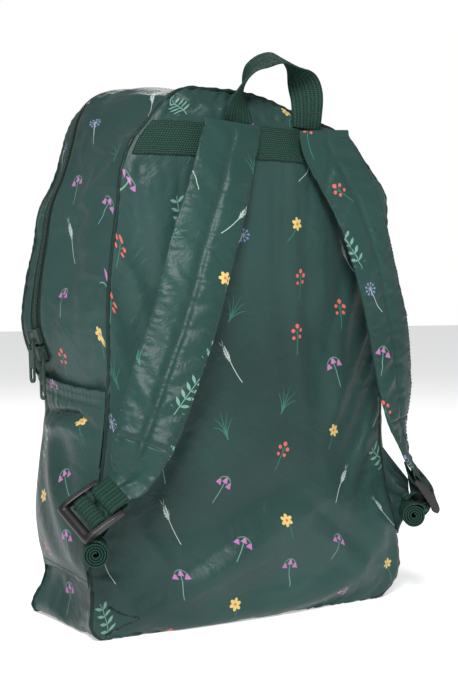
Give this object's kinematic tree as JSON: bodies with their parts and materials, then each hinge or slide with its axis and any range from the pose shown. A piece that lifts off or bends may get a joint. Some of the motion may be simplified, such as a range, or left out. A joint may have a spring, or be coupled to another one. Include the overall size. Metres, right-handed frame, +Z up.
{
  "type": "packable backpack",
  "caption": "Light zipped backpack of thin coated cloth, standing on its base, with a haul handle, two shoulder straps in ladder locks, side pockets and an arched zip with two sliders.",
  "frame": {"origin": "middle of the base, on the surface the pack stands on", "axes": "+Z up, -Y towards the side with the shoulder straps, +X to the right seen from that side"},
  "size_m": [0.3181, 0.1737, 0.4246],
  "materials": {
    "cloth": "satin coated cloth with a sparse floral print",
    "strap_cloth": "satin coated cloth, folded and lightly filled",
    "webbing": "ribbed woven webbing",
    "buckle": "satin moulded plastic",
    "zip_tape": "fine woven tape",
    "zip_coil": "nylon coil",
    "zip_metal": "enamelled zinc"
  },
  "bodies": {
    "pack": {"back_panel": "cloth", "front_panel": "cloth", "gusset": "cloth", "base_panel": "cloth", "zip_tape": "zip_tape", "zip_coil": "zip_coil", "zip_slider_1": "zip_metal", "zip_slider_2": "zip_metal", "side_pocket_left": "cloth", "side_pocket_right": "cloth", "yoke_webbing": "webbing", "haul_handle": "webbing", "shoulder_strap_left": "strap_cloth", "strap_webbing_left": "webbing", "ladder_lock_left": "buckle", "lower_webbing_left": "webbing", "lower_tab_left": "cloth", "shoulder_strap_right": "strap_cloth", "strap_webbing_right": "webbing", "ladder_lock_right": "buckle", "lower_webbing_right": "webbing", "lower_tab_right": "cloth"},
    "pull_1": {"zip_pull_1": "zip_metal"},
    "pull_2": {"zip_pull_2": "zip_metal"}
  },
  "joints": [
    {"name": "pull_1_swing", "type": "hinge", "parent": "pack", "child": "pull_1", "pos_m": [-0.15165, 0.03643, 0.20886], "axis": [-0.2033, 0.9771, -0.0629], "range_deg": [0, 120]},
    {"name": "pull_2_swing", "type": "hinge", "parent": "pack", "child": "pull_2", "pos_m": [-0.14624, 0.02943, 0.19644], "axis": [-0.1958, 0.9788, -0.0606], "range_deg": [0, 120]}
  ]
}
